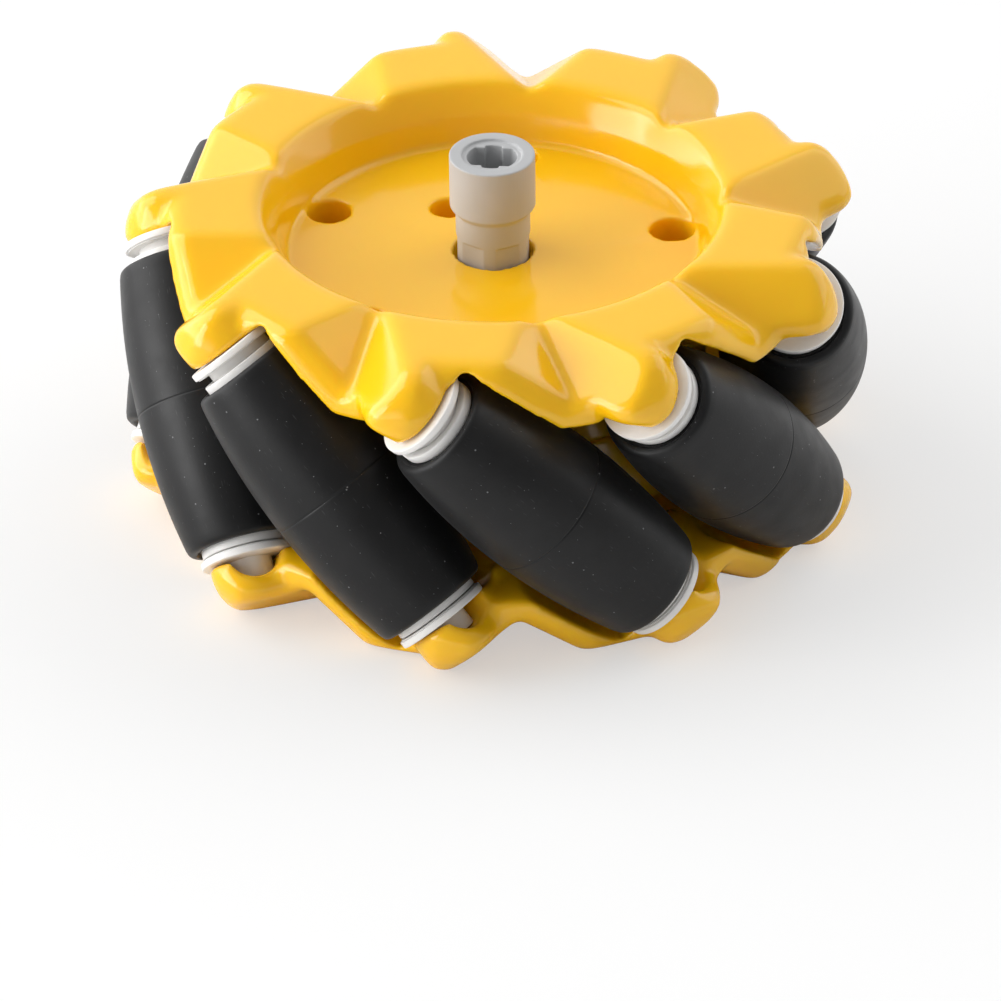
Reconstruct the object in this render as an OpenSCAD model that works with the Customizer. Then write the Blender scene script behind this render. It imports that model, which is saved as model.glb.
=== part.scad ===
// Mecanum wheel with nine barrel rollers at 45 degrees and a cross-axle coupling.
// It lies flat on its rear face: the wheel's axis is +Z and the rear face is at z = 0.

/* [Wheel] */
// Diameter over the rollers
wheel_d = 80; // [78:0.5:84]
// Width from face to face of the two shells
wheel_w = 36.8; // [36:0.2:39]

/* [Rollers] */
// Largest diameter of a rubber barrel
roller_d = 16; // [15:0.1:16.4]
// Length of a roller over its white end flanges
roller_len = 33.4; // [32.6:0.1:34]
// Length of the rubber barrel
tread_len = 31.9; // [30:0.1:32]
// Diameter of the core inside the rubber
core_d = 10; // [9:0.1:10]
// Diameter of the core's end flange
flange_d = 10.3; // [10.2:0.05:10.8]
// Bevel at the ends of the rubber
tread_bevel = 0.5; // [0.2:0.1:0.8]
// End play of a roller between its two bushes
end_play = 1.1; // [0.8:0.1:1.4]
// How far each roller has slid down inside its end play
slip = 0.4; // [0:0.05:0.5]
// Diameter of the steel pin
pin_d = 2.5; // [2:0.1:3]
// Radial clearance of everything that turns
running_gap = 0.05; // [0.03:0.01:0.08]

/* [End bushes] */
// Diameter of a bush flange
bush_d = 10.4; // [9.8:0.1:10.8]
// Thickness of a bush flange
bush_t = 0.9; // [0.7:0.05:1.2]
// Diameter of the boss in the ear
boss_d = 4.6; // [4.2:0.1:5.2]
// Length of the boss
boss_len = 2.2; // [1.8:0.1:2.6]
// Diameter of the neck that carries the roller
neck_d = 7.4; // [6.8:0.1:7.8]
// Length of the neck
neck_len = 2.2; // [1.8:0.1:2.6]

/* [Shells] */
// Diameter of the plate between the ears
plate_d = 70.4; // [69.6:0.1:71.4]
// Depth of the plate's outer wall
plate_t = 8.1; // [7.6:0.1:8.6]
// Diameter over the ears
ear_reach_d = 78.4; // [77:0.1:79]
// Soft radius of the plate's outer edge
edge_r = 2.5; // [1:0.1:3]
// Soft radius of the ears' outer edge
ear_edge_r = 4.2; // [2:0.1:5]
// Width of an ear
ear_w = 8.8; // [8.4:0.1:9.6]
// Thickness of an ear along its roller
ear_t = 4.9; // [4.4:0.1:5.4]
// Clearance between the shells and the rollers
pocket_gap = 1.1; // [0.8:0.1:1.4]
// Diameter of the cup's mouth
rim_d = 49.8; // [48.5:0.1:51]
// Diameter of the cup's floor
floor_d = 44; // [43.4:0.1:45]
// Depth of the cup
cup_depth = 6.5; // [6:0.1:7]
// Wall thickness of the floor and the drum
wall = 2.1; // [1.8:0.1:2.4]
// Slope of the face that leads down to each ear
ramp_slope = 36.9; // [34:0.5:40]
// Bevel on that face's outer edge
ramp_bevel = 1.4; // [0.6:0.1:2]

/* [Coupling] */
// Diameter of the coupling's head
coupling_d = 9.15; // [9:0.05:10]
// Diameter below the step
coupling_neck_d = 7.95; // [7.9:0.05:8.4]
// Height of the head above the front face
coupling_rise = 5.2; // [4:0.1:7]
// Length of the head
coupling_head = 6; // [5:0.1:7]
// Hexagon across flats
hex_af = 7.4; // [7:0.1:7.5]
// Round part of the shaft hole
shaft_d = 5.35; // [5.2:0.05:5.5]
// Flats of the shaft hole
shaft_flats = 3.65; // [3.5:0.05:3.8]
// Cross hole from tip to tip
axle_d = 4.8; // [4.7:0.05:5]
// Width of the cross hole's arms
axle_arm = 1.8; // [1.7:0.05:2]
// Dish round the shaft hole
dish_d = 6.4; // [6:0.1:7]
// Depth of the dish
dish_t = 0.3; // [0.1:0.05:0.5]

/* [Screws] */
// Gap from the rollers' inner side to the pitch circle of the five screws
screw_gap = 4.5; // [4.4:0.1:5]
// Diameter of the screw wells in the floor
well_d = 4.7; // [4.4:0.1:4.8]
// Diameter of a screw
screw_d = 2.4; // [2:0.1:2.6]
// Diameter of a screw head
head_d = 4.2; // [4:0.1:4.3]
// Height of a screw head
head_h = 1.6; // [1.2:0.1:2]

/* [Hidden] */

$fn = 64;
rollers = 9;
pitch = 360 / rollers;
tilt = 45;
first_roller = -85;
mid_z = wheel_w / 2;
big = wheel_d;
eps = 0.01;

// Rollers: axis circle, end faces and the crown of the barrel.
axis_r = (wheel_d - roller_d) / 2;
bush_face = roller_len / 2 + end_play / 2;
ear_face = bush_face + bush_t;
ear_back = ear_face + ear_t;
tread_end = tread_len / 2;

// The barrel touches the wheel's cylinder all the way round. At a contact angle t the
// touching point lies rad(t) from the roller's axis and along(t) from its middle.
function drop(t) = wheel_d / 2 * cos(t) - axis_r;
function rad(t) = drop(t) * sqrt(1 + pow(tan(t) * cos(tilt), 2));
function along(t) = (wheel_d / 2 * sin(t) - tan(t) * drop(t) * pow(sin(tilt), 2)) / cos(tilt);
function contact(s, lo = 0, hi = 30, n = 24) =
  n == 0 ? (lo + hi) / 2 :
  along((lo + hi) / 2) < s ? contact(s, (lo + hi) / 2, hi, n - 1) : contact(s, lo, (lo + hi) / 2, n - 1);
end_r = rad(contact(tread_end));
crown = roller_d / 2 - end_r;
crown_r = (tread_end * tread_end + crown * crown) / (2 * crown);

// Half profile of a barrel grown by g, between heights a and b, outside radius r0.
module barrel_2d(g, a, b, r0) {
  intersection() {
    translate([roller_d / 2 - crown_r, 0]) circle(r = crown_r + g, $fn = 180);
    translate([r0, a]) square([roller_d, b - a]);
  }
}

// Puts a piece on roller i: x points out, z runs up the roller's axis to the front shell.
module on_roller(i) {
  translate([0, 0, mid_z])
    rotate([0, 0, first_roller + pitch * (i - 1)])
      translate([axis_r, 0, 0])
        rotate([tilt, 0, 0])
          children();
}

// The second shell is the first one turned half round a radial line through a roller's middle.
module turned() {
  translate([0, 0, mid_z])
    rotate([0, 0, first_roller])
      rotate([180, 0, 0])
        rotate([0, 0, -first_roller])
          translate([0, 0, -mid_z])
            children();
}

module roller_tread(i) {
  color("#2b2b2d")
    on_roller(i)
      translate([0, 0, -slip])
        rotate_extrude($fn = 56)
          difference() {
            barrel_2d(0, -tread_end, tread_end, core_d / 2);
            for (m = [0, 1]) mirror([0, m])
              translate([end_r, tread_end])
                rotate(45)
                  square(tread_bevel * sqrt(2), center = true);
          }
}

module roller_core(i) {
  neck_r = neck_d / 2 + running_gap;
  sock = neck_len + end_play;
  color("#f2f1ee")
    on_roller(i)
      translate([0, 0, -slip])
        difference() {
          union() {
            cylinder(d = core_d, h = tread_len, center = true);
            for (m = [0, 1]) mirror([0, 0, m])
              translate([0, 0, tread_end])
                cylinder(d = flange_d, h = roller_len / 2 - tread_end);
          }
          cylinder(r = pin_d / 2 + running_gap, h = big, center = true);
          for (m = [0, 1]) mirror([0, 0, m])
            translate([0, 0, roller_len / 2 - sock])
              cylinder(r = neck_r, h = big);
        }
}

module bush() {
  difference() {
    union() {
      translate([0, 0, bush_face]) cylinder(d = bush_d, h = bush_t);
      translate([0, 0, bush_face - neck_len]) cylinder(d = neck_d, h = neck_len + eps);
      translate([0, 0, ear_face - eps]) cylinder(d = boss_d, h = boss_len + eps);
    }
    cylinder(d = pin_d, h = ear_face + boss_len / 2);
  }
}

module upper_bush(i) {
  color("#f2f1ee") on_roller(i) bush();
}

module lower_bush(i) {
  color("#f2f1ee") on_roller(i) mirror([0, 0, 1]) bush();
}

module axle_pin(i) {
  color("silver")
    on_roller(i)
      cylinder(d = pin_d, h = 2 * (ear_face + boss_len / 2), center = true, $fn = 32);
}

// Shells, drawn for the front one. Heights are measured from the wheel's middle plane.
drum_r = axis_r - roller_d / 2 - pocket_gap - 0.2;
hub_r = hex_af / 2 / cos(30) + wall;
screw_pcd = 2 * axis_r - roller_d - 2 * screw_gap;
post_r = min(screw_d / 2 + wall, drum_r - screw_pcd / 2);
well_floor = 3;
pilot_depth = 7;
dowel_d = 3.9;
dowel_r = 10;
dowel_angle = 115;
dowel_depth = 5;
coupling_turn = -9.5;
hex_turn = coupling_turn + 30;
screw_angle = 7;
hub_gap = 0.03;
ear_r = 1.3;
face_h = wheel_w / 2;
ramp_x = axis_r + 2;
ramp_y = -4.3;
ramp_turn = 20.8;
ramp_near = ramp_x * cos(ramp_turn) - ramp_y * sin(ramp_turn);
ramp_out = sqrt(ramp_near * ramp_near - ramp_x * ramp_x - ramp_y * ramp_y + plate_d * plate_d / 4) - ramp_near;
floor_h = face_h - cup_depth;

// A square from the origin with its far top corner rounded.
module soft_square(w, h, r) {
  square([w - r, h]);
  square([w, h - r]);
  translate([w - r, h - r]) circle(r = r);
}

module shell_profile() {
  // drum and plate, with the cup and the hollow inside taken out
  difference() {
    union() {
      square([drum_r, floor_h]);
      translate([0, face_h - plate_t]) soft_square(plate_d / 2, plate_t, edge_r);
    }
    polygon([[-1, floor_h], [floor_d / 2, floor_h],
      [floor_d / 2 + 1, face_h - cup_depth / 2],
      [rim_d / 2, face_h], [rim_d / 2 + 1, face_h + 1], [-1, face_h + 1]]);
    translate([-1, -1]) square([drum_r - wall + 1, floor_h - wall + 1]);
  }
}

module ear_2d() {
  circle(d = ear_w);
  translate([-ear_w * 1.4, -ear_w / 2]) square([ear_w * 1.4, ear_w]);
}

// Everything that reaches past the plate: one ear per roller, inside the ear circle.
module ears() {
  intersection() {
    rotate_extrude()
      translate([rim_d / 2 + 1, 0])
        soft_square(ear_reach_d / 2 - rim_d / 2 - 1, face_h, ear_edge_r);
    for (i = [1:rollers])
      translate([0, 0, -mid_z])
        on_roller(i)
          translate([0, 0, bush_face])
            difference() {
              linear_extrude(ear_back - bush_face) ear_2d();
              translate([0, 0, ear_back - bush_face]) ear_edge();
            }
  }
}

// What the soft radius takes off the edge of an ear's back.
module ear_edge() {
  rotate([0, 0, -90])
    rotate_extrude(angle = 180)
      translate([ear_w / 2 - ear_r, -ear_r])
        corner_2d();
  translate([0, -ear_w / 2, 0])
    rotate([90, 0, -90])
      linear_extrude(ear_w * 1.5)
        translate([-ear_r, -ear_r])
          corner_2d();
}

module corner_2d() {
  difference() {
    square(ear_r + 1);
    circle(r = ear_r);
  }
}

// The wedge taken out beside an ear: the ramp comes down, then the ear's back rises.
module notch(i) {
  intersection() {
    rotate([0, 0, first_roller + pitch * (i - 2)])
      translate([ramp_x, ramp_y, face_h])
        rotate([0, 0, -ramp_turn])
          rotate([-ramp_slope, 0, 0]) {
            translate([-30, -2, 0])
              cube([50, 40, 30]);
            // the ramp's outer edge
            translate([ramp_out - ramp_bevel, 0, 0])
              rotate([0, 45, 14])
                translate([-30, -10, 0])
                  cube([60, 30, 30]);
          }
    translate([0, 0, -mid_z])
      on_roller(i)
        translate([-30, -30, ear_back])
          cube([60, 60, 30]);
  }
}

// Room for the roller and its bush, and the socket and slot for the bush's boss.
module pocket(i) {
  translate([0, 0, -mid_z])
    on_roller(i) {
      rotate_extrude()
        barrel_2d(pocket_gap, -ear_face, ear_face, 0);
      cylinder(d = boss_d + 0.1, h = ear_face + boss_len + 0.1);
      translate([0, 0, ear_face])
        rotate([90, 0, 0])
          cylinder(d = boss_d + 0.3, h = ear_w);
    }
}

module shell(front) {
  difference() {
    union() {
      rotate_extrude($fn = 96) shell_profile();
      ears();
      for (k = [0:4])
        rotate([0, 0, screw_angle + 72 * k])
          translate([screw_pcd / 2, 0, 0])
            cylinder(r = post_r, h = floor_h - wall / 2);
      cylinder(r = hub_r, h = floor_h - wall / 2);
      if (front)
        rotate([0, 0, dowel_angle])
          translate([dowel_r, 0, floor_h - dowel_depth - wall / 2])
            cylinder(d = dowel_d + wall, h = dowel_depth, $fn = 40);
    }
    for (i = [1:rollers]) {
      notch(i);
      pocket(i);
    }
    rotate([0, 0, front ? hex_turn : 2 * first_roller - hex_turn])
      translate([0, 0, -1])
        cylinder(r = (hex_af / 2 + hub_gap) / cos(30), h = big, $fn = 6);
    translate([0, 0, floor_h - 1.2]) cylinder(r = coupling_neck_d / 2 + 0.28, h = big);
    for (k = [0:4])
      rotate([0, 0, (front ? 1 : -1) * screw_angle + (front ? 72 : -72) * k + (front ? 0 : 2 * first_roller)])
        translate([screw_pcd / 2, 0, 0])
          if (front) {
            translate([0, 0, well_floor]) cylinder(d = well_d, h = big, $fn = 48);
            translate([0, 0, -1]) cylinder(d = screw_d + 0.3, h = big, $fn = 32);
          } else {
            translate([0, 0, -1]) cylinder(d = screw_d, h = pilot_depth + 1, $fn = 32);
          }
    if (front)
      rotate([0, 0, dowel_angle])
        translate([dowel_r, 0, floor_h - dowel_depth])
          cylinder(d = dowel_d, h = big, $fn = 40);
  }
}
module front_shell() {
  color("#f9b81c")
    translate([0, 0, mid_z])
      shell(true);
}

module rear_shell() {
  color("#f9b81c")
    turned()
      translate([0, 0, mid_z])
        shell(false);
}

// Takes a round shaft with two flats, or a cross-shaped axle.
module shaft_hole_2d() {
  intersection() {
    circle(d = shaft_d, $fn = 48);
    square([shaft_d + 1, shaft_flats], center = true);
  }
  intersection() {
    circle(d = axle_d, $fn = 48);
    square([axle_arm, axle_d + 1], center = true);
  }
}

module shaft_coupling() {
  top = wheel_w + coupling_rise;
  step = (coupling_d - coupling_neck_d) / 2 * 1.2;
  neck_end = wheel_w - cup_depth * 0.66;
  rear_end = cup_depth + 0.3;
  color("#c3c5c7")
    rotate([0, 0, coupling_turn])
      difference() {
        union() {
          translate([0, 0, top - coupling_head]) cylinder(d = coupling_d, h = coupling_head);
          translate([0, 0, top - coupling_head - step])
            cylinder(d1 = coupling_neck_d, d2 = coupling_d, h = step);
          translate([0, 0, neck_end])
            cylinder(d = coupling_neck_d, h = top - coupling_head - step - neck_end);
          intersection() {
            translate([0, 0, rear_end])
              rotate([0, 0, 30])
                cylinder(r = hex_af / 2 / cos(30), h = neck_end + 1 - rear_end, $fn = 6);
            translate([0, 0, rear_end])
              cylinder(d = coupling_neck_d - 0.05, h = neck_end + 1 - rear_end);
          }
        }
        translate([0, 0, -1]) linear_extrude(big) shaft_hole_2d();
        translate([0, 0, top - dish_t]) cylinder(d = dish_d, h = 1);
      }
}

module shell_screws() {
  color("silver")
    for (k = [0:4])
      rotate([0, 0, screw_angle + 72 * k])
        translate([screw_pcd / 2, 0, mid_z + well_floor])
          difference() {
            union() {
              cylinder(d = head_d, h = head_h, $fn = 40);
              translate([0, 0, 1 - well_floor - pilot_depth])
                cylinder(d = screw_d, h = well_floor + pilot_depth - 1 + eps, $fn = 32);
            }
            translate([0, 0, head_h])
              for (a = [0, 90])
                rotate([0, 0, a])
                  cube([head_d * 0.6, head_d * 0.16, head_h], center = true);
          }
}

front_shell();
rear_shell();
shaft_coupling();
shell_screws();
for (i = [1:rollers]) {
  roller_tread(i);
  roller_core(i);
  upper_bush(i);
  lower_bush(i);
  axle_pin(i);
}
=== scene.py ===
"""Mecanum wheel with nine rubber rollers, laid flat on a pale floor. As a script it dresses the frame."""

import math

import bmesh
import bpy
from bpy.props import FloatProperty, FloatVectorProperty, IntProperty, PointerProperty
from mathutils import Matrix, Vector


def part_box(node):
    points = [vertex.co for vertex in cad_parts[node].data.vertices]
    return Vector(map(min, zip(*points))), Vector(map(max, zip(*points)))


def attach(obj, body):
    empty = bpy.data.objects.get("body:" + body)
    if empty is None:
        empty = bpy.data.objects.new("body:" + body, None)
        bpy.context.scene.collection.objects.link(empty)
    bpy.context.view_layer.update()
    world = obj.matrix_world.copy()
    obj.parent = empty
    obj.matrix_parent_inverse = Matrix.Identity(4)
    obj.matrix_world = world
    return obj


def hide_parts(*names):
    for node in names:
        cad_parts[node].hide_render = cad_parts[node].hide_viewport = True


bl_info = {
    "name": "Mecanum Wheel",
    "version": (1, 0, 0),
    "blender": (4, 5, 0),
    "location": "View3D > Sidebar > Wheel",
    "description": "Moulded shells, rubber rollers, bushes and coupling of a mecanum wheel, on a pale floor",
    "category": "Object",
}

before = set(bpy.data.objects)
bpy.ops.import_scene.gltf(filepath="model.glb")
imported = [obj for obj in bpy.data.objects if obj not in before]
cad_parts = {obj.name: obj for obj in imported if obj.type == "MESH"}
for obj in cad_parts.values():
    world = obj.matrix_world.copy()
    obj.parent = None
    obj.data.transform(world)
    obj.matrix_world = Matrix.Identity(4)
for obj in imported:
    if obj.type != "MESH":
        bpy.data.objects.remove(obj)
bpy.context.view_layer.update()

MM = 0.001
ROLLERS = 9
PITCH = math.tau / ROLLERS
FIRST_ROLLER = math.radians(-85)
TILT = math.radians(45)
SHELL_LOW, SHELL_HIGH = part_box("rear_shell")[0].z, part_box("front_shell")[1].z
MID_HEIGHT = (SHELL_LOW + SHELL_HIGH) / 2

FLOOR_SIDE = 6.0
# each lamp's name, bearing and rise in degrees, and side; all stand as far from the wheel
LAMPS = (("left", 161, 30, 0.95), ("right", 20, 34, 0.9), ("side", 198, 14, 0.5))
LAMP_REACH = 0.95
CAMERA_PLACE = (-0.0506, -0.8334, 0.5331)
CAMERA_AIM = Vector((0.0514, 0.8405, -0.5393))
CAMERA_ROLL = math.radians(-0.844)


def linear(code):
    """An sRGB hex colour as linear RGBA."""
    parts = [int(code[i : i + 2], 16) / 255 for i in (1, 3, 5)]
    return tuple(p / 12.92 if p <= 0.04045 else ((p + 0.055) / 1.055) ** 2.4 for p in parts) + (1.0,)


# Settings


def length(name, default_mm, words):
    """A length setting, its default given in millimetres."""
    return FloatProperty(name=name, description=words, default=default_mm * MM, unit="LENGTH", precision=5)


def colour(name, code, words):
    """A colour setting, its default given as an sRGB hex code."""
    looks = {"size": 4, "subtype": "COLOR", "min": 0, "max": 1}
    return FloatVectorProperty(name=name, description=words, default=linear(code), **looks)


def number(name, default, words, least=0):
    """A setting that is a plain number."""
    return FloatProperty(name=name, description=words, default=default, min=least)


def lamp_power(name, default, words):
    """A lamp's power in watts."""
    return FloatProperty(name=name, description=words, default=default, unit="POWER")


class RollerSettings(bpy.types.PropertyGroup):
    wheel_d: length("Wheel diameter", 80, "Diameter over the rollers")
    roller_d: length("Roller diameter", 16, "Largest diameter of a rubber barrel")
    tread_len: length("Rubber length", 31.9, "Length of a rubber barrel")
    lip_r: length("Lip radius", 0.7, "Rounding at the ends of the rubber")
    dish: length("End recess", 0.4, "Depth of the groove between the rubber's lip and the core")
    seam_w: length("Seam width", 0.16, "Width of the mould line round the middle")
    seam_t: length("Seam depth", 0.05, "Depth of the mould line round the middle")
    core_r: length("Core radius", 4.7, "Radius of the core inside the rubber")
    flange_r: length("Core flange radius", 4.85, "Radius of the core's end flange")
    core_len: length("Core length", 33.4, "Length over the core's two end flanges")
    slip: length("Slide", 0.4, "How far a roller has slid down between its bushes")
    around: IntProperty(name="Segments", description="Facets round a barrel", default=96, min=24)
    rubber: colour("Rubber", "#0C0C0D", "Colour of the rubber")
    white: colour("White plastic", "#F1EFEC", "Colour of the cores and bushes")


class ShellSettings(bpy.types.PropertyGroup):
    grain: length("Fineness", 0.3, "Size of the mesh that rounds the moulded edges")
    soft: IntProperty(name="Edge softness", description="Rounding of every moulded edge", default=2, min=0)
    rim_soft: IntProperty(name="Rim softness", description="Further rounding of the rim", default=16, min=0)
    hub_r: length("Hub radius", 5, "Inside this radius the edges stay crisp")
    cup_r: length("Cup radius", 24.9, "Radius of the cup's lip, which is rounded as the rim is")
    rim_start: length("Rim start", 32, "Radius where the rim's rounding begins")
    rim_end: length("Rim end", 35, "Radius from which the rim is rounded in full")
    ear_root: length("Ear root", 34.5, "Radius from which the ears are drawn out again after the rounding")
    ear_stretch: number("Ear stretch", 0.11, "Share by which the ears are drawn out")
    ear_lean: number("Ear lean", -0.08, "The same at the outer face, where the ears lean in", least=-1)
    triangles: IntProperty(name="Triangles", description="Triangles in each shell", default=190000, min=1000)
    body: colour("Shell", "#FCC112", "Colour of the moulded shells")


class CouplingSettings(bpy.types.PropertyGroup):
    grain: length("Fineness", 0.09, "Size of the mesh that rounds the moulded edges")
    soft: IntProperty(name="Edge softness", description="Rounding of every moulded edge", default=2, min=0)
    triangles: IntProperty(name="Triangles", description="Triangles in the coupling", default=90000, min=1000)
    body: colour("Coupling", "#B4B5B6", "Colour of the coupling")


class StageSettings(bpy.types.PropertyGroup):
    floor: colour("Floor", "#F4F4F4", "Colour of the studio floor")
    lens: FloatProperty(name="Focal length", description="Camera lens", default=328.4, unit="CAMERA")
    left: lamp_power("Left light", 6.4, "Power of the lamp behind, at the left")
    right: lamp_power("Right light", 2.6, "Power of the lamp behind, at the right")
    side: lamp_power("Side light", 3.5, "Power of the low lamp at the left")
    room: number("Room light", 0.78, "Strength of the light from all round")
    front: number("Front", 0.41, "Share of the room's light that comes from the front")
    back: number("Back", 1.2, "Share of the room's light that comes from the back")
    band: number("Pale band", 2.6, "Share that comes from the pale band low down at the left")


# Node helpers


def add(tree, kind, sockets=None, **settings):
    """Adds a node, sets its properties, then fills or links its inputs. A node links its first output."""
    node = tree.nodes.new(kind)
    for key, value in settings.items():
        setattr(node, key, value)
    for key, value in (sockets or {}).items():
        if isinstance(value, bpy.types.Node):
            value = value.outputs[0]
        if isinstance(value, bpy.types.NodeSocket):
            tree.links.new(value, node.inputs[key])
        else:
            node.inputs[key].default_value = value
    return node


def new_material(name):
    """A material with an empty tree, and the object coordinates in it."""
    material = bpy.data.materials.new(name)
    material.use_nodes = True
    tree = material.node_tree
    tree.nodes.clear()
    return material, tree, add(tree, "ShaderNodeTexCoord").outputs["Object"]


def mottle(tree, where, size, low, high, detail=2.0):
    """A soft cloudy value between low and high, with patches of that size."""
    noise = add(tree, "ShaderNodeTexNoise", {"Vector": where, "Scale": 1 / size, "Detail": detail})
    return add(tree, "ShaderNodeMapRange", {0: noise, 1: 0.3, 2: 0.7, 3: low, 4: high})


def clouded(tree, where, size, body, dark, light=1.0, detail=2.0):
    """The body colour, in clouds of that size between a dark and a light share of it."""
    cloud = mottle(tree, where, size, 0, 1, detail)
    ends = [tuple(part * k for part in body[:3]) + (1.0,) for k in (dark, light)]
    return add(tree, "ShaderNodeMix", {0: cloud, 6: ends[0], 7: ends[1]}, data_type="RGBA").outputs[2]


def relief(tree, where, size, detail, strength, depth):
    """A bump of fine grains of that size and depth."""
    grains = add(tree, "ShaderNodeTexNoise", {"Vector": where, "Scale": 1 / size, "Detail": detail})
    return add(tree, "ShaderNodeBump", {"Strength": strength, "Distance": depth, "Height": grains})


def abs_gloss(body):
    """ABS, injection-moulded in a polished tool: gloss, faint flow clouds, a body that glows a little."""
    material, tree, where = new_material("abs_moulded_gloss")
    shader = add(
        tree,
        "ShaderNodeBsdfPrincipled",
        {
            "Base Color": clouded(tree, where, 14 * MM, body, 0.97),
            "Roughness": mottle(tree, where, 5 * MM, 0.11, 0.16),
            "IOR": 1.53,
            "Subsurface Weight": 0.2,
            "Subsurface Radius": (1.0, 0.35, 0.06),
            "Subsurface Scale": 2.0 * MM,
            "Normal": relief(tree, where, 1.6 * MM, 1.0, 0.05, 0.03 * MM),
        },
    )
    add(tree, "ShaderNodeOutputMaterial", {"Surface": shader})
    return material


def abs_satin(body):
    """ABS, moulded in a finely blasted tool: an even satin with a fine grit."""
    material, tree, where = new_material("abs_moulded_satin")
    shader = add(
        tree,
        "ShaderNodeBsdfPrincipled",
        {
            "Base Color": clouded(tree, where, 3 * MM, body, 0.95),
            "Roughness": mottle(tree, where, 1.5 * MM, 0.42, 0.55),
            "IOR": 1.5,
            "Subsurface Weight": 0.03,
            "Subsurface Radius": (1.0, 0.9, 0.8),
            "Subsurface Scale": 0.4 * MM,
            "Normal": relief(tree, where, 0.35 * MM, 2.0, 0.12, 0.02 * MM),
        },
    )
    add(tree, "ShaderNodeOutputMaterial", {"Surface": shader})
    return material


def acetal(body):
    """Acetal, moulded: waxy white with a soft shine."""
    material, tree, where = new_material("acetal_moulded")
    shader = add(
        tree,
        "ShaderNodeBsdfPrincipled",
        {
            "Base Color": clouded(tree, where, 2 * MM, body, 0.96),
            "Roughness": mottle(tree, where, 1.2 * MM, 0.3, 0.4),
            "IOR": 1.48,
            "Subsurface Weight": 0.15,
            "Subsurface Radius": (1.0, 0.95, 0.85),
            "Subsurface Scale": 0.8 * MM,
            "Normal": relief(tree, where, 0.6 * MM, 1.0, 0.06, 0.02 * MM),
        },
    )
    add(tree, "ShaderNodeOutputMaterial", {"Surface": shader})
    return material


def dust_specks(tree, where, cell, radius, empty):
    """Round specks of that radius, one to a cell, with that share of the cells left empty."""
    cells = add(tree, "ShaderNodeTexVoronoi", {"Vector": where, "Scale": 1 / cell})
    reach = {0: cells.outputs["Distance"], 1: radius / cell}
    near = add(tree, "ShaderNodeMath", reach, operation="LESS_THAN")
    pick = add(tree, "ShaderNodeSeparateColor", {0: cells.outputs["Color"]})
    chosen = add(tree, "ShaderNodeMath", {0: pick, 1: empty}, operation="GREATER_THAN")
    return add(tree, "ShaderNodeMath", {0: near, 1: chosen}, operation="MULTIPLY")


def rubber(body):
    """Synthetic rubber, moulded: matte near-black with cloudy marks, grey dust specks and hair scratches."""
    material, tree, where = new_material("rubber_moulded")
    wrapped = add(tree, "ShaderNodeUVMap", uv_map="UVMap")
    # dust: one in five cells 1.1 mm wide holds a speck 0.19 mm across, one in five 0.5 mm wide one of 0.08 mm
    coarse = dust_specks(tree, where, 1.1 * MM, 0.0935 * MM, 0.8)
    fine = dust_specks(tree, where, 0.5 * MM, 0.04 * MM, 0.8)
    dust = add(tree, "ShaderNodeMath", {0: fine, 1: coarse}, operation="MAXIMUM")
    # scuffs run mostly along the roller, as noise that is drawn out that way
    across, along = 0.15 * MM, 1.2 * MM
    stretch = add(tree, "ShaderNodeMapping", {"Vector": wrapped, "Scale": (1 / across, 1 / along, 1)})
    hair = add(tree, "ShaderNodeTexNoise", {"Vector": stretch, "Scale": 1.0, "Detail": 0.0})
    scratch = add(tree, "ShaderNodeMapRange", {0: hair, 1: 0.76, 2: 0.84, 3: 0.0, 4: 0.2})
    colour_now = clouded(tree, where, 4 * MM, body, 0.75, 1.35, detail=4.0)
    for mask, mark in ((scratch, "#5A5A5C"), (dust, "#6C6C6E")):
        mixed = add(tree, "ShaderNodeMix", {0: mask, 6: colour_now, 7: linear(mark)}, data_type="RGBA")
        colour_now = mixed.outputs[2]
    shader = add(
        tree,
        "ShaderNodeBsdfPrincipled",
        {
            "Base Color": colour_now,
            "Roughness": mottle(tree, where, 3 * MM, 0.38, 0.48),
            "IOR": 1.5,
            "Specular IOR Level": 0.32,
            "Sheen Weight": 0.04,
            "Sheen Roughness": 0.5,
            "Normal": relief(tree, where, 0.3 * MM, 3.0, 0.25, 0.03 * MM),
        },
    )
    add(tree, "ShaderNodeOutputMaterial", {"Surface": shader})
    return material


def turned_steel():
    """Steel, drawn and turned: a bright metal with fine marks."""
    material, tree, where = new_material("steel_turned")
    marks = add(tree, "ShaderNodeTexNoise", {"Vector": where, "Scale": 1 / (0.15 * MM), "Detail": 2.0})
    metal = {0: marks, 6: linear("#9A9A9C"), 7: linear("#BDBDBF")}
    shader = add(
        tree,
        "ShaderNodeBsdfPrincipled",
        {
            "Base Color": add(tree, "ShaderNodeMix", metal, data_type="RGBA").outputs[2],
            "Metallic": 1.0,
            "Roughness": mottle(tree, where, 0.8 * MM, 0.25, 0.4),
            "Normal": add(tree, "ShaderNodeBump", {"Strength": 0.1, "Distance": 0.01 * MM, "Height": marks}),
        },
    )
    add(tree, "ShaderNodeOutputMaterial", {"Surface": shader})
    return material


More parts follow.
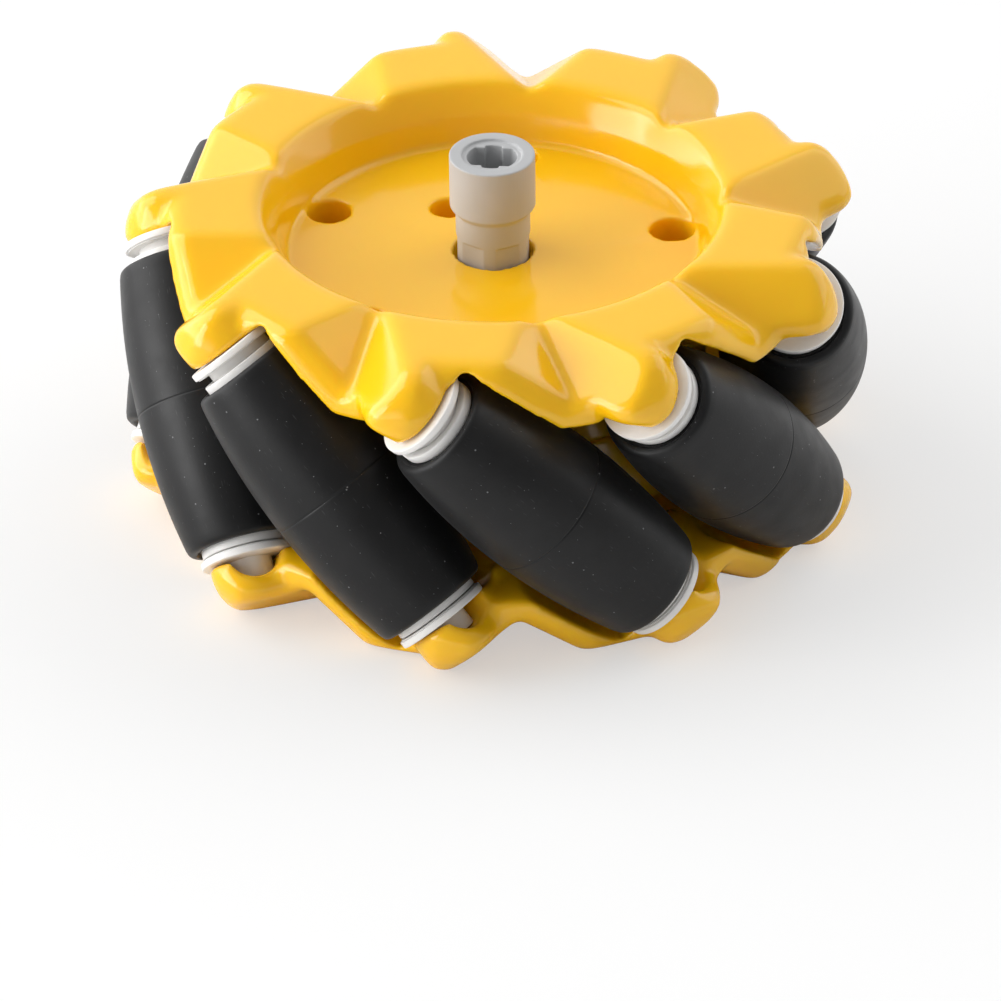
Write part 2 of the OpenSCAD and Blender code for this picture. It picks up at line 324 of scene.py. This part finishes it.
def studio_paper(body):
    """Matte paper, mostly white to the camera. In gloss its far end shows as the white backdrop."""
    material, tree, where = new_material("studio_paper")
    matte = add(tree, "ShaderNodeBsdfDiffuse", {"Color": clouded(tree, where, 200 * MM, body, 0.995)})
    glow = add(tree, "ShaderNodeEmission", {"Color": (1, 1, 1, 1), "Strength": 1.0})
    ray = add(tree, "ShaderNodeLightPath").outputs
    depth = add(tree, "ShaderNodeSeparateXYZ", {0: where}).outputs[1]
    far = add(tree, "ShaderNodeMapRange", {0: depth, 1: 50 * MM, 2: 300 * MM, 3: 0.0, 4: 0.6})
    gloss = add(tree, "ShaderNodeMath", {0: far, 1: ray["Is Glossy Ray"]}, operation="MULTIPLY")
    white = add(tree, "ShaderNodeMath", {0: ray["Is Camera Ray"], 1: 0.5, 2: gloss}, operation="MULTIPLY_ADD")
    both = add(tree, "ShaderNodeMixShader", {0: white, 1: matte, 2: glow})
    add(tree, "ShaderNodeOutputMaterial", {"Surface": both})
    return material


# Mesh helpers


def scratch_object(name, mesh):
    """A new object with that mesh, in the scene."""
    made = bpy.data.objects.new(name, mesh)
    bpy.context.scene.collection.objects.link(made)
    return made


def plain_mesh(name, source):
    """The evaluated source as a new object with a plain mesh; the source is deleted."""
    bpy.context.view_layer.update()
    depsgraph = bpy.context.evaluated_depsgraph_get()
    mesh = bpy.data.meshes.new_from_object(source.evaluated_get(depsgraph))
    mesh.name = name
    bpy.data.objects.remove(source)
    if not mesh.polygons:
        raise RuntimeError(f"{name} came out empty")
    return scratch_object(name, mesh)


def set_inputs(modifier, values):
    """Sets a Geometry Nodes modifier's inputs by their sockets' identifiers."""
    for item in modifier.node_group.interface.items_tree:
        if item.item_type == "SOCKET" and item.in_out == "INPUT" and item.name in values:
            modifier[item.identifier] = values[item.name]


def new_tree(name, inputs):
    """A Geometry Nodes tree with a geometry output and the named inputs."""
    tree = bpy.data.node_groups.new(name, "GeometryNodeTree")
    tree.interface.new_socket(name="Geometry", in_out="OUTPUT", socket_type="NodeSocketGeometry")
    for label, kind in inputs:
        tree.interface.new_socket(name=label, in_out="INPUT", socket_type="NodeSocket" + kind)
    return tree, add(tree, "NodeGroupInput").outputs


def moulding_tree():
    """Rounds a finely meshed moulding: every edge a little, the ramps, cup's lip and outer rim more."""
    floats = ("Hub", "Cup radius", "Rim start", "Rim end", "Middle", "Ear root", "Ear stretch", "Ear lean")
    inputs = [("Geometry", "Geometry"), ("Soft", "Int"), ("Rim soft", "Int")]
    inputs += [(name, "Float") for name in floats]
    tree, given = new_tree("moulded_edges", inputs)
    spot = add(tree, "GeometryNodeInputPosition")
    flat = add(tree, "ShaderNodeVectorMath", {0: spot, 1: (1, 1, 0)}, operation="MULTIPLY")
    radius = add(tree, "ShaderNodeVectorMath", {0: flat}, operation="LENGTH").outputs["Value"]
    # every edge, but inside the hub's radius only a fifth as much, growing to full over 0.6 mm
    clear = add(tree, "ShaderNodeMath", {0: given["Hub"], 1: 0.6 * MM}, operation="ADD")
    outside = add(tree, "ShaderNodeMapRange", {0: radius, 1: given["Hub"], 2: clear, 3: 0.2, 4: 1.0})
    blur = {"Value": spot, "Iterations": given["Soft"], "Weight": outside}
    first = add(tree, "GeometryNodeBlurAttribute", blur, data_type="FLOAT_VECTOR")
    eased = add(tree, "GeometryNodeSetPosition", {"Geometry": given["Geometry"], "Position": first})
    # the rim in full, the cup's lip in full within 1 mm, and the ramps outside the lip a quarter as much
    ends = {0: radius, 1: given["Rim start"], 2: given["Rim end"], 3: 0.0, 4: 1.0}
    rim = add(tree, "ShaderNodeMapRange", ends, interpolation_type="SMOOTHSTEP")
    off = add(tree, "ShaderNodeMath", {0: radius, 1: given["Cup radius"]}, operation="SUBTRACT")
    away = add(tree, "ShaderNodeMath", {0: off}, operation="ABSOLUTE")
    lip = add(tree, "ShaderNodeMapRange", {0: away, 1: 1.0 * MM, 2: 2.0 * MM, 3: 1.0, 4: 0.0})
    ramps = add(tree, "ShaderNodeMapRange", {0: off, 1: 0.0, 2: 1.0 * MM, 3: 0.0, 4: 0.25})
    edges = add(tree, "ShaderNodeMath", {0: rim, 1: lip}, operation="MAXIMUM")
    both = add(tree, "ShaderNodeMath", {0: edges, 1: ramps}, operation="MAXIMUM")
    blur = {"Value": spot, "Iterations": given["Rim soft"], "Weight": both}
    second = add(tree, "GeometryNodeBlurAttribute", blur, data_type="FLOAT_VECTOR")
    rounded = add(tree, "GeometryNodeSetPosition", {"Geometry": eased, "Position": second})
    # rounding draws the ears in: they go out again up to 12.5 mm from the middle, and lean in at 16.5 mm
    past = add(tree, "ShaderNodeMath", {0: radius, 1: given["Ear root"]}, operation="SUBTRACT")
    reach = add(tree, "ShaderNodeMath", {0: past, 1: 0.0}, operation="MAXIMUM")
    part = add(tree, "ShaderNodeMath", {0: reach, 1: radius}, operation="DIVIDE")
    height = add(tree, "ShaderNodeSeparateXYZ", {0: spot}).outputs[2]
    up = add(tree, "ShaderNodeMath", {0: height, 1: given["Middle"]}, operation="SUBTRACT")
    rise = add(tree, "ShaderNodeMath", {0: up}, operation="ABSOLUTE")
    pulls = {0: rise, 1: 12.5 * MM, 2: 16.5 * MM, 3: given["Ear stretch"], 4: given["Ear lean"]}
    pull = add(tree, "ShaderNodeMapRange", pulls)
    much = add(tree, "ShaderNodeMath", {0: part, 1: pull}, operation="MULTIPLY")
    out = add(tree, "ShaderNodeVectorMath", {0: flat, "Scale": much}, operation="SCALE")
    full = add(tree, "GeometryNodeSetPosition", {"Geometry": rounded, "Offset": out})
    add(tree, "NodeGroupOutput", {0: full})
    return tree


def moulded(node, name, settings, material, **rounding):
    """A copy of a CAD node with moulded edges: fine mesh, rounded, then thinned where it is flat."""
    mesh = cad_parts[node].data.copy()
    work = bmesh.new()
    work.from_mesh(mesh)
    bmesh.ops.remove_doubles(work, verts=work.verts, dist=0.0005 * MM)
    work.to_mesh(mesh)
    work.free()
    source = scratch_object(name + "_source", mesh)
    fine = source.modifiers.new("Fine mesh", "REMESH")
    fine.mode = "VOXEL"
    fine.voxel_size = settings.grain
    edges = source.modifiers.new("Moulded edges", "NODES")
    edges.node_group = bpy.data.node_groups.get("moulded_edges") or moulding_tree()
    set_inputs(edges, {"Soft": settings.soft, **rounding})
    source = plain_mesh(name + "_fine", source)
    thin = source.modifiers.new("Thin", "DECIMATE")
    # the fine mesh is all quads, so it has twice as many triangles
    thin.ratio = min(1.0, settings.triangles / (2 * len(source.data.polygons)))
    piece = plain_mesh(name, source)
    # triangles with no area go, because a mesh file leaves them out and would be open there
    work = bmesh.new()
    work.from_mesh(piece.data)
    bmesh.ops.dissolve_degenerate(work, edges=work.edges, dist=0.001 * MM)
    bmesh.ops.triangulate(work, faces=[f for f in work.faces if len(f.verts) > 3])
    work.to_mesh(piece.data)
    work.free()
    piece.data.materials.clear()
    piece.data.materials.append(material)
    piece.data.shade_smooth()
    return piece


def turned_tree():
    """Turns a profile round its axis, leans it on the roller circle and repeats it round the wheel."""
    counts = ("Rows", "Points", "Around", "Count")
    floats = ("First angle", "Pitch", "Circle radius", "Height", "Tilt", "Slide", "Wrap radius")
    inputs = [("Profile", "Object")] + [(name, "Int") for name in counts]
    inputs += [(name, "Float") for name in floats] + [("Material", "Material")]
    tree, given = new_tree("turned_pieces", inputs)
    # a sheet of points: its columns go once round the piece, its rows run along the profile
    columns = add(tree, "ShaderNodeMath", {0: given["Around"], 1: 1}, operation="ADD")
    sheet = add(tree, "GeometryNodeMeshGrid", {"Vertices X": columns, "Vertices Y": given["Rows"]})
    index = add(tree, "GeometryNodeInputIndex")
    row = add(tree, "ShaderNodeMath", {0: index, 1: given["Rows"]}, operation="MODULO")
    along = add(tree, "ShaderNodeMath", {0: index, 1: given["Rows"]}, operation="DIVIDE")
    column = add(tree, "ShaderNodeMath", {0: along}, operation="FLOOR")
    part = add(tree, "ShaderNodeMath", {0: column, 1: given["Around"]}, operation="DIVIDE")
    turn = add(tree, "ShaderNodeMath", {0: part, 1: math.tau}, operation="MULTIPLY")
    profile = add(tree, "GeometryNodeObjectInfo", {"Object": given["Profile"]})
    # a closed profile's last row is its first point again
    which = add(tree, "ShaderNodeMath", {0: row, 1: given["Points"]}, operation="MODULO")
    spots = add(tree, "GeometryNodeInputPosition")
    picked = {"Geometry": profile.outputs["Geometry"], "Value": spots, "Index": which}
    sample = add(tree, "GeometryNodeSampleIndex", picked, data_type="FLOAT_VECTOR")
    point = add(tree, "ShaderNodeSeparateXYZ", {0: sample}).outputs
    cosine = add(tree, "ShaderNodeMath", {0: turn}, operation="COSINE")
    sine = add(tree, "ShaderNodeMath", {0: turn}, operation="SINE")
    x = add(tree, "ShaderNodeMath", {0: point[0], 1: cosine}, operation="MULTIPLY")
    y = add(tree, "ShaderNodeMath", {0: point[0], 1: sine}, operation="MULTIPLY")
    z = add(tree, "ShaderNodeMath", {0: point[2], 1: given["Slide"]}, operation="ADD")
    spot = add(tree, "ShaderNodeCombineXYZ", {0: x, 1: y, 2: z})
    # the UV map, in metres: the way round, and the place along the profile
    round_way = add(tree, "ShaderNodeMath", {0: turn, 1: given["Wrap radius"]}, operation="MULTIPLY")
    wrap = add(tree, "ShaderNodeCombineXYZ", {0: round_way, 1: point[2]})
    kept = add(tree, "GeometryNodeFieldOnDomain", {0: wrap}, data_type="FLOAT_VECTOR", domain="POINT")
    named = {"Geometry": sheet.outputs["Mesh"], "Name": "UVMap", "Value": kept}
    marked = add(tree, "GeometryNodeStoreNamedAttribute", named, data_type="FLOAT2", domain="CORNER")
    rolled = add(tree, "GeometryNodeSetPosition", {"Geometry": marked, "Position": spot})
    closed = add(tree, "GeometryNodeMergeByDistance", {"Geometry": rolled, "Distance": 0.001 * MM})
    # leant, put on the roller circle, and repeated round the wheel
    lean = add(tree, "ShaderNodeCombineXYZ", {0: given["Tilt"]})
    out = add(tree, "ShaderNodeCombineXYZ", {0: given["Circle radius"]})
    leant = add(tree, "GeometryNodeTransform", {"Geometry": closed, "Translation": out, "Rotation": lean})
    centre = add(tree, "ShaderNodeCombineXYZ", {2: given["Height"]})
    places = add(tree, "GeometryNodePoints", {"Count": given["Count"], "Position": centre})
    number = add(tree, "GeometryNodeInputIndex")
    steps = add(tree, "ShaderNodeMath", {0: number, 1: given["Pitch"]}, operation="MULTIPLY")
    angle = add(tree, "ShaderNodeMath", {0: given["First angle"], 1: steps}, operation="ADD")
    facing = add(tree, "FunctionNodeEulerToRotation", {0: add(tree, "ShaderNodeCombineXYZ", {2: angle})})
    copies = {"Points": places, "Instance": leant, "Rotation": facing}
    ring = add(tree, "GeometryNodeInstanceOnPoints", copies)
    real = add(tree, "GeometryNodeRealizeInstances", {"Geometry": ring})
    # smooth, but for edges that bend by more than 50 degrees
    smooth = add(tree, "GeometryNodeSetShadeSmooth", {0: real, 2: True})
    bend = add(tree, "GeometryNodeInputMeshEdgeAngle")
    sharp = add(tree, "ShaderNodeMath", {0: bend, 1: math.radians(50)}, operation="GREATER_THAN")
    creased = add(tree, "GeometryNodeSetShadeSmooth", {0: smooth, 1: sharp, 2: False}, domain="EDGE")
    dressed = add(tree, "GeometryNodeSetMaterial", {"Geometry": creased, "Material": given["Material"]})
    add(tree, "NodeGroupOutput", {0: dressed})
    return tree


def turned(name, profile, closed, material, count=1, first=FIRST_ROLLER, tilt=TILT, slide=0.0):
    """Makes one plain mesh of turned pieces. The profile lists (radius, height along the roller)."""
    settings = bpy.context.scene.wheel_rollers
    mesh = bpy.data.meshes.new(name + "_profile")
    mesh.from_pydata([(r, 0, z) for r, z in profile], [], [])
    shape = scratch_object(name + "_profile", mesh)
    source = scratch_object(name + "_source", bpy.data.meshes.new(name + "_source"))
    maker = source.modifiers.new("Turned", "NODES")
    maker.node_group = bpy.data.node_groups.get("turned_pieces") or turned_tree()
    set_inputs(
        maker,
        {
            "Profile": shape,
            "Rows": len(profile) + (1 if closed else 0),
            "Points": len(profile),
            "Around": settings.around,
            "Count": count,
            "First angle": first,
            "Pitch": PITCH,
            "Circle radius": (settings.wheel_d - settings.roller_d) / 2,
            "Height": MID_HEIGHT,
            "Tilt": tilt,
            "Slide": slide,
            "Wrap radius": settings.roller_d / 2,
            "Material": material,
        },
    )
    piece = plain_mesh(name, source)
    piece.data.materials.clear()
    piece.data.materials.append(material)
    bpy.data.objects.remove(shape)
    return piece


def arc(r, z, size, start, end, steps=6):
    """Points of an arc about (r, z), angles in degrees from outward."""
    turns = [math.radians(start + (end - start) * k / steps) for k in range(steps + 1)]
    return [(r + size * math.cos(t), z + size * math.sin(t)) for t in turns]


def mirrored(points):
    """The points, led by their mirror image in the middle plane, in one run."""
    return [(r, -z) for r, z in reversed(points)] + points


def barrel_point(angle, settings):
    """Where the barrel touches the wheel's cylinder at that angle: radius, height along the roller."""
    reach = settings.wheel_d / 2 * math.cos(angle) - (settings.wheel_d - settings.roller_d) / 2
    radius = reach * math.hypot(1, math.tan(angle) * math.cos(TILT))
    height = settings.wheel_d / 2 * math.sin(angle) - math.tan(angle) * reach * math.sin(TILT) ** 2
    return radius, height / math.cos(TILT)


def tread_profile(settings):
    """Half barrel from the mould line to the end, the rounded lip and the groove beside the core."""
    end = settings.tread_len / 2
    lip = settings.lip_r
    # contact angles in steps of 0.45 degrees, as far as the barrel goes
    outer = [barrel_point(math.radians(0.25 + 0.45 * k), settings) for k in range(60)]
    outer = [p for p in outer if settings.seam_w < p[1] < end - lip]
    half = settings.roller_d / 2
    seam = [(half - settings.seam_t, 0.25 * settings.seam_w), (half, 0.6 * settings.seam_w)]
    edge = outer[-1][0] - 0.12 * lip
    rim = arc(edge - lip, end - lip, lip, 10, 90)
    inner, slope = settings.flange_r + 0.25 * MM, 0.3 * MM
    groove = [(inner + slope, end), (inner, end - settings.dish), (settings.core_r, end - settings.dish)]
    return mirrored(seam + outer + rim + groove)


def core_profile(settings):
    """Half core: bore, neck socket, flange with eased edges, and the sleeve under the rubber."""
    end = settings.core_len / 2
    flange_back = settings.tread_len / 2 - 0.3 * MM
    bore, socket, depth = 1.3 * MM, 3.75 * MM, 3.3 * MM
    ease, sunk = 0.12 * MM, 0.02 * MM
    rim = arc(settings.flange_r - ease, flange_back + ease, ease, -90, 0, 3)
    rim += arc(settings.flange_r - ease, end - ease, ease, 0, 90, 3)
    half = [(settings.core_r - sunk, flange_back)] + rim
    half += [(socket + ease, end), (socket, end - ease), (socket, end - depth), (bore, end - depth)]
    return mirrored(half)


def bush_profile():
    """A bush: boss in the ear, flange with eased edges, neck into the roller, blind hole for the pin."""
    face, back = 17.25 * MM, 18.15 * MM
    flange, boss, neck, pin = 5.2 * MM, 2.3 * MM, 3.7 * MM, 1.25 * MM
    reach, hole_end = 2.2 * MM, 1.1 * MM  # how far neck and boss stand out, and the hole's end
    ease, step, rise = 0.14 * MM, 0.3 * MM, 0.12 * MM
    points = [(0, back + hole_end), (pin, back + hole_end), (pin, face - reach)]
    points += [(neck - ease, face - reach), (neck, face - reach + ease), (neck, face)]
    points += [(flange - step, face), (flange - step, face + rise)]
    points += arc(flange - ease, face + rise + ease, ease, -90, 0, 3)
    points += arc(flange - ease, back - ease, ease, 0, 90, 3)
    points += [(boss, back)] + arc(boss - ease, back + reach - ease, ease, 0, 90, 3)
    points += [(0, back + reach)]
    return points


def place(piece, body, slot, *nodes):
    """Hangs a finished piece on the empty of the body it rides on and hides the nodes it stands for. The slot
    it would take its finish from is not used.
    """
    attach(piece, body)
    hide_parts(*nodes)


def rows(kind):
    """The names of the nine nodes of a kind."""
    return [f"{kind}_{i + 1}" for i in range(ROLLERS)]


# Operators


class WHEEL_OT_shells(bpy.types.Operator):
    """Make the two yellow shells with their soft moulded edges"""

    bl_idname = "wheel.make_shells"
    bl_label = "Shells"

    def execute(self, context):
        settings = context.scene.wheel_shells
        material = abs_gloss(settings.body)
        rounding = {
            "Rim soft": settings.rim_soft,
            "Hub": settings.hub_r,
            "Cup radius": settings.cup_r,
            "Rim start": settings.rim_start,
            "Rim end": settings.rim_end,
            "Middle": MID_HEIGHT,
            "Ear root": settings.ear_root,
            "Ear stretch": settings.ear_stretch,
            "Ear lean": settings.ear_lean,
        }
        for node in ("front_shell", "rear_shell"):
            piece = moulded(node, node + "_moulded", settings, material, **rounding)
            place(piece, "hub", "yellow_shell", node)
        return {"FINISHED"}


class WHEEL_OT_coupling(bpy.types.Operator):
    """Make the grey shaft coupling"""

    bl_idname = "wheel.make_coupling"
    bl_label = "Coupling"

    def execute(self, context):
        settings = context.scene.wheel_coupling
        piece = moulded("shaft_coupling", "coupling_moulded", settings, abs_satin(settings.body))
        place(piece, "hub", "grey_coupling", "shaft_coupling")
        return {"FINISHED"}


class WHEEL_OT_rollers(bpy.types.Operator):
    """Make the nine rubber barrels and their white cores"""

    bl_idname = "wheel.make_rollers"
    bl_label = "Rollers"

    def execute(self, context):
        settings = context.scene.wheel_rollers
        black, white = rubber(settings.rubber), acetal(settings.white)
        for i in range(ROLLERS):
            turn = FIRST_ROLLER + PITCH * i
            spot = {"first": turn, "slide": -settings.slip}
            tread = turned(f"tread_{i + 1}", tread_profile(settings), True, black, **spot)
            place(tread, f"roller_{i + 1}", "black_rubber", f"roller_tread_{i + 1}")
            core = turned(f"core_{i + 1}", core_profile(settings), True, white, **spot)
            place(core, f"roller_{i + 1}", "white_plastic", f"roller_core_{i + 1}")
        return {"FINISHED"}


class WHEEL_OT_bushes(bpy.types.Operator):
    """Make the white end bushes of both shells"""

    bl_idname = "wheel.make_bushes"
    bl_label = "Bushes"

    def execute(self, context):
        white = bpy.data.materials.get("acetal_moulded") or acetal(context.scene.wheel_rollers.white)
        upper = turned("upper_bushes", bush_profile(), False, white, count=ROLLERS)
        place(upper, "hub", "white_plastic", *rows("upper_bush"))
        lower = turned("lower_bushes", bush_profile(), False, white, count=ROLLERS, tilt=TILT + math.pi)
        place(lower, "hub", "white_plastic", *rows("lower_bush"))
        return {"FINISHED"}


class WHEEL_OT_steel(bpy.types.Operator):
    """Give the pins and screws their turned steel"""

    bl_idname = "wheel.dress_steel"
    bl_label = "Pins and screws"

    def execute(self, context):
        steel = turned_steel()
        for node in ["shell_screws"] + rows("axle_pin"):
            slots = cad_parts[node].material_slots
            if not slots:
                raise RuntimeError(f"{node} has no material slot")
            for one in slots:
                one.material = steel
        return {"FINISHED"}


def soft_lamp(name, bearing, rise, size, power):
    """A large square lamp aimed at the wheel, at that bearing and rise in degrees."""
    data = bpy.data.lights.new(name, "AREA")
    data.shape = "SQUARE"
    data.size = size
    data.energy = power
    lamp = bpy.data.objects.new(name, data)
    turn, lift = math.radians(bearing), math.radians(rise)
    way = Vector((math.cos(turn) * math.cos(lift), math.sin(turn) * math.cos(lift), math.sin(lift)))
    lamp.location = LAMP_REACH * way + Vector((0, 0, SHELL_HIGH))
    lamp.rotation_euler = (-way).to_track_quat("-Z", "Y").to_euler()
    bpy.context.scene.collection.objects.link(lamp)


def studio_world(settings):
    """White to the camera. The wheel sees a white room, darker in front, with a pale band low at the left."""
    world = bpy.data.worlds.new("studio")
    world.use_nodes = True
    tree = world.node_tree
    tree.nodes.clear()
    way = add(tree, "ShaderNodeTexCoord").outputs["Generated"]
    facing = add(tree, "ShaderNodeSeparateXYZ", {0: way}).outputs
    depth = {0: facing[1], 1: -0.5, 2: 0.5, 3: settings.front, 4: settings.back}
    room = add(tree, "ShaderNodeMapRange", depth)
    left = add(tree, "ShaderNodeMapRange", {0: facing[0], 1: -0.55, 2: -0.2, 3: 1.0, 4: 0.0})
    low = add(tree, "ShaderNodeMapRange", {0: facing[2], 1: 0.1, 2: 0.4, 3: settings.band, 4: 0.0})
    band = add(tree, "ShaderNodeMath", {0: low, 1: left}, operation="MULTIPLY")
    both = add(tree, "ShaderNodeMath", {0: room, 1: band}, operation="MAXIMUM")
    level = add(tree, "ShaderNodeMath", {0: both, 1: settings.room}, operation="MULTIPLY")
    seen = add(tree, "ShaderNodeLightPath").outputs["Is Camera Ray"]
    power = add(tree, "ShaderNodeMix", {0: seen, 2: level, 3: 1.0}, data_type="FLOAT")
    sky = add(tree, "ShaderNodeBackground", {"Color": (1, 1, 1, 1), "Strength": power})
    add(tree, "ShaderNodeOutputWorld", {0: sky})
    bpy.context.scene.world = world


def studio_camera(lens):
    """The camera: a long lens about a metre in front of the wheel, looking down on it."""
    data = bpy.data.cameras.new("camera")
    data.lens = lens
    data.sensor_width = 36
    data.clip_end = 20
    camera = bpy.data.objects.new("camera", data)
    camera.location = CAMERA_PLACE
    aim = CAMERA_AIM.to_track_quat("-Z", "Y").to_matrix()
    camera.rotation_euler = (aim @ Matrix.Rotation(CAMERA_ROLL, 3, "Z")).to_euler()
    bpy.context.scene.collection.objects.link(camera)
    bpy.context.scene.camera = camera


class WHEEL_OT_stage(bpy.types.Operator):
    """Make the floor, the lamps and the camera"""

    bl_idname = "wheel.make_stage"
    bl_label = "Stage"

    def execute(self, context):
        settings = context.scene.wheel_stage
        half = FLOOR_SIDE / 2
        corners = [(-half, -half, 0), (half, -half, 0), (half, half, 0), (-half, half, 0)]
        mesh = bpy.data.meshes.new("floor")
        mesh.from_pydata(corners, [], [(0, 1, 2, 3)])
        mesh.materials.append(studio_paper(settings.floor))
        floor = scratch_object("floor", mesh)
        for name, bearing, rise, size in LAMPS:
            soft_lamp(name, bearing, rise, size, getattr(settings, name))
        studio_world(settings)
        studio_camera(settings.lens)
        context.scene.view_settings.view_transform = "Standard"
        return {"FINISHED"}


OPERATORS = (
    WHEEL_OT_shells,
    WHEEL_OT_coupling,
    WHEEL_OT_rollers,
    WHEEL_OT_bushes,
    WHEEL_OT_steel,
    WHEEL_OT_stage,
)


class WHEEL_PT_panel(bpy.types.Panel):
    """Lists what makes the wheel"""

    bl_label = "Mecanum Wheel"
    bl_idname = "WHEEL_PT_panel"
    bl_space_type = "VIEW_3D"
    bl_region_type = "UI"
    bl_category = "Wheel"

    def draw(self, context):
        for one in OPERATORS:
            self.layout.operator(one.bl_idname)


SETTINGS = {
    "wheel_rollers": RollerSettings,
    "wheel_shells": ShellSettings,
    "wheel_coupling": CouplingSettings,
    "wheel_stage": StageSettings,
}
CLASSES = (*SETTINGS.values(), *OPERATORS, WHEEL_PT_panel)


def register():
    for one in CLASSES:
        bpy.utils.register_class(one)
    for name, group in SETTINGS.items():
        setattr(bpy.types.Scene, name, PointerProperty(type=group))


def unregister():
    for name in SETTINGS:
        delattr(bpy.types.Scene, name)
    for one in reversed(CLASSES):
        bpy.utils.unregister_class(one)


def main():
    register()
    bpy.ops.wheel.make_stage()
    bpy.ops.wheel.make_shells()
    bpy.ops.wheel.make_coupling()
    bpy.ops.wheel.make_rollers()
    bpy.ops.wheel.make_bushes()
    bpy.ops.wheel.dress_steel()


if __name__ == "__main__":
    main()
